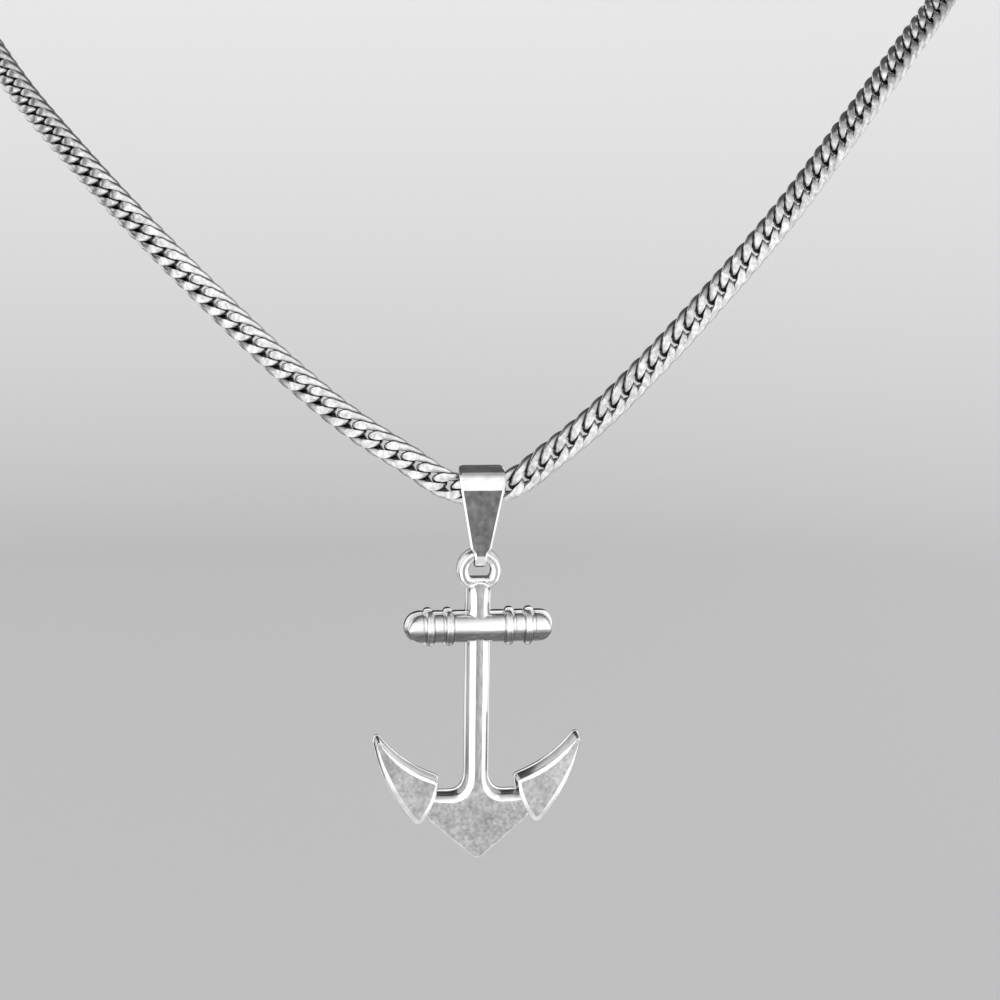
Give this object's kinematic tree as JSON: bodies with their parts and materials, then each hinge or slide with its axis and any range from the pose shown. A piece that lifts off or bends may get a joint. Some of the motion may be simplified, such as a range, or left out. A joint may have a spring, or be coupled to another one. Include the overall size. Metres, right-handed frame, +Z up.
{
  "type": "anchor pendant necklace",
  "caption": "Flat double curb chain necklace in worn form, with a folded sheet bail and a cast anchor pendant that swings from it.",
  "frame": {"origin": "the middle of the clasp's inner face, at the nape, where the necklace is held up", "axes": "+Z up; -Y to the front, where the pendant hangs; +X to the right as seen from the front"},
  "size_m": [0.1509, 0.1495, 0.1417],
  "materials": {
    "chain_steel": "polished, with ground flat facets",
    "clasp_steel": "tumble polished",
    "bail_steel": "satin faces with polished edges",
    "anchor_steel": "cast and tumbled, with satin hollows and bright rims"
  },
  "bodies": {
    "chain": {"chain": "chain_steel", "clasp": "clasp_steel"},
    "bail": {"bail": "bail_steel"},
    "anchor": {"anchor": "anchor_steel"}
  },
  "joints": [
    {"name": "bail_swing", "type": "hinge", "parent": "chain", "child": "bail", "pos_m": [0, -0.145, -0.09113], "axis": [1, 0, 0], "range_deg": [-22, 22]},
    {"name": "anchor_swing", "type": "hinge", "parent": "bail", "child": "anchor", "pos_m": [0, -0.145, -0.102], "axis": [0, 1, 0], "range_deg": [-85, 85]}
  ]
}
